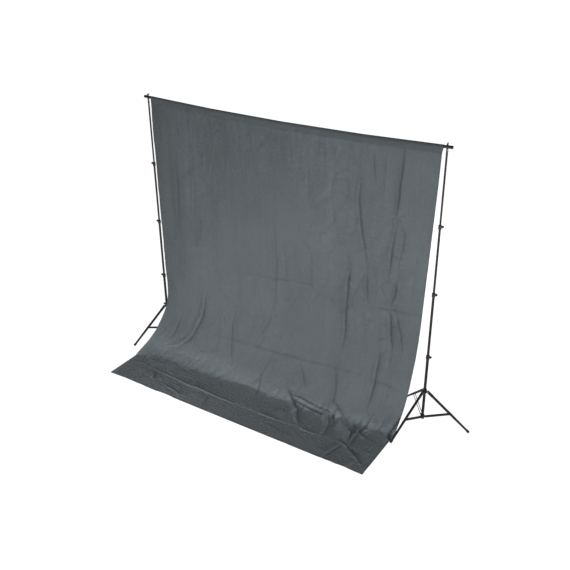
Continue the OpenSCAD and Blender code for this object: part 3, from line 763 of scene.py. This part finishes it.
# Each pair is where one zone of the cloth begins and is complete, down the cloth or, for the right, across it
HANGING = (0.02, 0.35)
FADED_ON_FLOOR = 0.5
LOW = (1.6, 2.5)
ON_FLOOR = (2.65, 2.95)
BELOW_BAR = (0.0, 0.05)
BELOW_UPPER = (0.3, 0.9)
BELOW_POCKET = (0.03, 0.12)
RIGHT = (-0.6, 1.3)
RIGHT_EDGE = (1.15, 1.33)
# Where the cloth lands, and how far the folds there reach at the left and at the right
LANDING = 2.76
LANDING_REACH = (0.10, 0.18)

# Random folds: seed, how far their lines lean across to a metre down and down to a metre across,
# size across, size down, zone, height at the left, height at the right
FOLDS = (
    (3, 0.0, 0.0, 0.55, 1.1, "hanging", 0.010, 0.010),
    (5, 0.0, 0.0, 0.12, 0.9, "fading", 0.0032, 0.0032),
    (8, 0.05, 0.0, 0.055, 0.8, "off the floor", 0.0022, 0.0022),
    (13, 0.0, 0.0, 0.03, 0.35, "top", 0.0026, 0.0012),
    (21, 0.3, 0.0, 0.22, 0.30, "low", 0.006, 0.006),
    (34, -0.5, 0.2, 0.11, 0.16, "low", 0.0035, 0.0035),
    (55, 0.0, 0.0, 0.30, 0.09, "floor", 0.003, 0.003),
    (59, -0.45, 0.0, 0.075, 0.5, "landing", 0.003, 0.018),
    (60, 0.1, 0.0, 0.030, 0.30, "landing", 0.003, 0.007),
    (61, 0.15, 0.0, 0.05, 0.22, "floor", 0.0022, 0.0022),
)


def bell(value, centre_value, reach):
    """1 at centre_value, falling to nearly 0 at twice the reach from it."""
    return np.exp(-(((value - centre_value) / reach) ** 2))


def wrinkles(x, down):
    """Height of the folds above the unwrinkled drape, towards the front, and the painted shade at each point:
    from folds, crumple lines and soft patches, with painted light below 0.
    """
    hanging = smooth_step(down, *HANGING)
    floor = smooth_step(down, *ON_FLOOR)
    right = smooth_step(x, *RIGHT)
    zones = {
        "hanging": hanging,
        "fading": hanging * (1 - FADED_ON_FLOOR * floor),
        "off the floor": hanging * (1 - floor),
        "top": smooth_step(down, *BELOW_BAR) * (1 - smooth_step(down, *BELOW_UPPER)),
        "low": smooth_step(down, *LOW),
        "floor": floor,
        "landing": bell(down, LANDING, mix(*LANDING_REACH, right)),
    }
    height, painted_shading = np.zeros(x.shape), np.zeros(x.shape)
    for seed, across, along, size_x, size_down, zone, at_left, at_right in FOLDS:
        bumps = lattice(seed, x + across * down, down + along * x, size_x, size_down)
        height += mix(at_left, at_right, right) * bumps * zones[zone]
    crumpled = crumpled_share(x, down, right, floor)
    for seed, size_x, size_down, lean, sharpness, depth in CRUMPLES:
        across = x + LINE_WANDER * lattice(seed + 1, x, down, LINE_TURN, LINE_TURN)
        facet, line = crumple(seed, across, down, size_x, size_down, lean, sharpness)
        height += crumpled * (facet - depth * line)
        painted_shading += CRUMPLE_SHADE * crumpled * line * depth / CRUMPLES[0][-1]
    for points, rise, width, depth in CREASES:
        fold, groove = crease(x, down, points, rise, width, depth)
        height += fold
        painted_shading += CREASE_SHADE * groove
    for px, pv, depth in PINCHES:
        height += pinch(x, down, px, pv, depth)
    return height, painted_shading + painted_shade_and_light(x, down)


def crumpled_share(x, down, right, floor):
    """How crumpled each point is: most in patches, and less on the floor and by the right edge."""
    seed, size_x, size_down = PATCHES
    patches = smooth_step(lattice(seed, x, down, size_x, size_down), *PATCH_EDGES)
    crumpled = BETWEEN_PATCHES + (1 - BETWEEN_PATCHES) * patches
    crumpled *= smooth_step(down, *BELOW_POCKET) * mix(*CRUMPLED_ACROSS, right) * (1 - LESS_ON_FLOOR * floor)
    return crumpled * (1 - LESS_BY_EDGE * smooth_step(x, *RIGHT_EDGE))


# Painted shade and light on the cloth in soft patches, in the same units as the painted shade of the folds
LEFT_DARKER = 0.55
BAND_DARKER = 0.30
UPPER_LIGHTER = 0.38
LANDING_LIGHTER = 0.85
# Where they are across the cloth: the middle and half width of a strip, or where one begins and is complete
DARK_LEFT = (-1.50, 0.17)
DARK_BAND = (-1.23, 0.09)
UPPER_RIGHT = (-0.4, 0.5)
LANDING_ENDS_RIGHT = (1.1, 1.35)
# Where they begin or end, down the cloth
LEFT_ENDS = (1.9, 2.5)
BAND_BEGINS = (0.3, 0.8)
BAND_ENDS = (1.6, 2.0)
UPPER_ENDS = (0.9, 1.5)
# The strip of painted light where the cloth lands: its line at the left and right, its half width, its share
# at the end
LANDING_LINE = (2.65, 2.69)
LANDING_WIDTH = 0.10
LANDING_LEAST = 0.4
# Faint bands of painted shade and light down the cloth: seed, size across, size down, share
BANDS_SHADE = 0.07
BANDS = ((92, 0.10, 1.5, 1.0), (93, 0.035, 0.7, 0.7))


def painted_shade_and_light(x, down):
    """Painted shade and light in soft patches: darker by the left edge, lighter at the upper right and where
    the cloth lands.
    """
    left = bell(x, *DARK_LEFT) * (1 - smooth_step(down, *LEFT_ENDS))
    band = bell(x, *DARK_BAND) * smooth_step(down, *BAND_BEGINS) * (1 - smooth_step(down, *BAND_ENDS))
    upper = smooth_step(x, *UPPER_RIGHT) * (1 - smooth_step(down, *UPPER_ENDS))
    landing = bell(down, mix(*LANDING_LINE, smooth_step(x, *RIGHT)), LANDING_WIDTH)
    landing *= mix(LANDING_LEAST, 1, 1 - smooth_step(x, *LANDING_ENDS_RIGHT))
    shade = LEFT_DARKER * left + BAND_DARKER * band - UPPER_LIGHTER * upper - LANDING_LIGHTER * landing
    for seed, size_x, size_down, share in BANDS:
        shade += BANDS_SHADE * share * lattice(seed, x, down, size_x, size_down)
    return shade


# The pocket: how far its front bulges, and how far its seam draws in and puckers the cloth beside it
SLACK = 0.0035
SLACK_MEAN = 0.6
SLACK_VARIES = 0.4
SLACK_BUMPS = (144, 0.09, 0.2)
PUCKER = 0.0012
PUCKER_BUMPS = (89, 0.018, 0.05)
PUCKER_REACH = 0.035
SEAM_DIP = 0.0018
SEAM_REACH = 0.006


def pocket_shape(x, down):
    """Height of the pocket's slack front, of its drawn-in seam and of the puckers beside the seam."""
    seed, size_x, size_down = SLACK_BUMPS
    fullness = SLACK_MEAN + SLACK_VARIES * lattice(seed, x, down, size_x, size_down)
    slack = np.sin(math.pi * np.clip(down / POCKET, 0, 1)) * fullness
    seed, size_x, size_down = PUCKER_BUMPS
    pucker = lattice(seed, x, down, size_x, size_down) * bell(down, POCKET, PUCKER_REACH)
    return SLACK * slack + PUCKER * pucker - SEAM_DIP * bell(down, POCKET, SEAM_REACH)


OVER_BAR_ROWS = 20
POCKET_ROWS = 6
SEAM_ROW = OVER_BAR_ROWS + POCKET_ROWS


def backdrop_grid():
    """The unwrinkled drape's points, columns by rows, and each point's distance down the cloth."""
    columns = int((RIGHT_TOP_X - LEFT_TOP_X) / GRID) + 1
    middle_length = np.linalg.norm(np.diff(drape_path(0.5), axis=0), axis=1).sum()
    rows = int((middle_length - 2 * POCKET) / GRID)
    grid, downs = [], []
    for share in np.linspace(0, 1, columns):
        path = drape_path(share)
        steps = np.concatenate([[0], np.cumsum(np.linalg.norm(np.diff(path, axis=0), axis=1))])
        start = steps[BAR_FRONT_POINT]
        spans = (
            (-start, 0.0, OVER_BAR_ROWS),
            (0.0, POCKET, POCKET_ROWS),
            (POCKET, steps[-1] - start, rows),
        )
        wanted = [np.linspace(a, b, n + 1)[:-1] for a, b, n in spans]
        wanted = np.concatenate([*wanted, [steps[-1] - start]])
        y = np.interp(wanted + start, steps, path[:, 0])
        z = np.interp(wanted + start, steps, path[:, 1])
        grid.append(np.stack([edge_x(share, z), y, z], 1))
        downs.append(wanted)
    return np.array(grid), np.array(downs)


def normals_of(points):
    """Unit normals of a grid of points, towards the front and up."""
    normal = np.cross(np.gradient(points, axis=1), np.gradient(points, axis=0))
    return normal / np.linalg.norm(normal, axis=2, keepdims=True)


# Painted shade on the pocket, along its seam and on the cloth over the bar, in the same units as the painted
# shade of the folds
POCKET_SHADE = 0.22
SEAM_SHADE = 0.3
OVER_BAR_SHADE = 0.5
OVER_BAR_FADE = 0.012
POCKET_FADE = 0.004
# Limits of the painted shading: the most painted light and the most painted shade
PAINTED_SHADING_LEAST = -1
PAINTED_SHADING_MOST = 1.15


def shape_backdrop():
    """The wrinkled cloth's points, and the painted shade at each: above 0 it is darker, below 0 painted
    lighter.
    """
    points, down = backdrop_grid()
    x = points[..., 0]
    height, painted_shading = wrinkles(x, np.maximum(down, 0))
    height *= smooth_step(down, 0.0, POCKET)
    height += pocket_shape(x, down) * (down > 0)
    points = points + normals_of(points) * height[..., None]
    points[..., 2] = np.maximum(points[..., 2], LIFT)
    pocket = 1 - smooth_step(down, POCKET - POCKET_FADE, POCKET + POCKET_FADE)
    over_bar = 1 - smooth_step(down, 0.0, OVER_BAR_FADE)
    painted_shading = painted_shading * (1 - pocket) + POCKET_SHADE * pocket
    painted_shading += SEAM_SHADE * bell(down, POCKET, SEAM_REACH) + OVER_BAR_SHADE * over_bar
    return points, np.clip(painted_shading, PAINTED_SHADING_LEAST, PAINTED_SHADING_MOST)


def add_mesh(name, points, faces, material):
    """A smooth mesh in the row frame, from points measured from the middle between the stands."""
    mesh = bpy.data.meshes.new(name)
    mesh.from_pydata((points + np.array(MIDDLE)).tolist(), [], faces.tolist())
    mesh.shade_smooth()
    mesh.materials.append(material)
    obj = bpy.data.objects.new(name, mesh)
    bpy.context.scene.collection.objects.link(obj)
    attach(obj, "crossbar")
    return obj


def cloth_mesh(name, points, painted_shading, thickness, material):
    columns, rows = points.shape[:2]
    index = np.arange(columns * rows).reshape(columns, rows)
    faces = np.stack([index[:-1, :-1], index[:-1, 1:], index[1:, 1:], index[1:, :-1]], -1).reshape(-1, 4)
    obj = add_mesh(name, points.reshape(-1, 3), faces, material)
    # The painted shade and light at each point, as an attribute that the cloth's material reads
    obj.data.attributes.new("painted_shading", "FLOAT", "POINT").data.foreach_set("value", painted_shading.ravel())
    thick = obj.modifiers.new("thickness", "SOLIDIFY")
    thick.thickness = thickness
    thick.offset = 0.0
    return obj


STITCH_STEP = 0.0075
STITCH_SIZE = (0.0046, 0.0009, 0.0008)


def stitch_mesh(name, line, normals, material):
    """A row of stitches along a line of points: each is a long, thin, eight-sided bead."""
    steps = np.concatenate([[0], np.cumsum(np.linalg.norm(np.diff(line, axis=0), axis=1))])
    places = np.arange(STITCH_STEP, steps[-1], STITCH_STEP)

    def along(values, at):
        return np.stack([np.interp(at, steps, values[:, k]) for k in range(3)], 1)

    half, wide, tall = (v / 2 for v in STITCH_SIZE)
    middle, normal = along(line, places), along(normals, places)
    forward = along(line, places + half) - along(line, places - half)
    forward /= np.linalg.norm(forward, axis=1, keepdims=True)
    across = np.cross(normal, forward)
    offsets = (forward * half, across * wide, normal * tall, -across * wide, -normal * tall, -forward * half)
    points = np.stack([middle + offset for offset in offsets], 1).reshape(-1, 3)
    bead = np.array([(0, 1, 2), (0, 2, 3), (0, 3, 4), (0, 4, 1), (5, 2, 1), (5, 3, 2), (5, 4, 3), (5, 1, 4)])
    faces = (bead[None] + 6 * np.arange(len(places))[:, None, None]).reshape(-1, 3)
    return add_mesh(name, points, faces, material)


HEM_COLUMNS = 2
HEM_ROWS = 3
HEM_THICK = 0.0006
HEM_LIFT = 0.0008
STITCH_LIFT = 0.0004
# Where the stitches run, as shares of the way in from the outer edge to the hem's inner edge
SIDE_STITCHES_IN = 0.75
FRONT_STITCHES_IN = 0.88


def make_backdrop():
    points, painted_shading = shape_backdrop()
    normals = normals_of(points)
    raised = points + normals * HEM_LIFT
    stitched = points + normals * (HEM_LIFT + STITCH_LIFT)
    cloth_paint = muslin("muslin")
    hem_paint = muslin("muslin_hem", HEM_SHADE)
    thread = sewing_thread("thread")
    cloth = cloth_mesh("backdrop_cloth", points, painted_shading, CLOTH_THICK, cloth_paint)
    extras = [
        cloth_mesh(f"backdrop_{name}_hem", raised[part], painted_shading[part], HEM_THICK, hem_paint)
        for name, part in (
            ("left", np.s_[:HEM_COLUMNS, SEAM_ROW:]),
            ("right", np.s_[-HEM_COLUMNS:, SEAM_ROW:]),
            ("front", np.s_[:, -HEM_ROWS:]),
        )
    ]
    inner_left = mix(stitched[0], stitched[1], SIDE_STITCHES_IN)
    inner_right = mix(stitched[-1], stitched[-2], SIDE_STITCHES_IN)
    inner_front = mix(stitched[:, -1], stitched[:, -HEM_ROWS], FRONT_STITCHES_IN)
    seam_up = normals[:, SEAM_ROW]
    seams = (
        ("backdrop_pocket_seam", points[:, SEAM_ROW] + seam_up * CLOTH_THICK / 2, seam_up),
        ("backdrop_left_stitches", inner_left[SEAM_ROW:], normals[0, SEAM_ROW:]),
        ("backdrop_right_stitches", inner_right[SEAM_ROW:], normals[-1, SEAM_ROW:]),
        ("backdrop_front_stitches", inner_front, normals[:, -1]),
    )
    extras += [stitch_mesh(name, line, up, thread) for name, line, up in seams]
    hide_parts("backdrop")


make_camera()
make_floor()
make_lights()
dress_all()
make_backdrop()
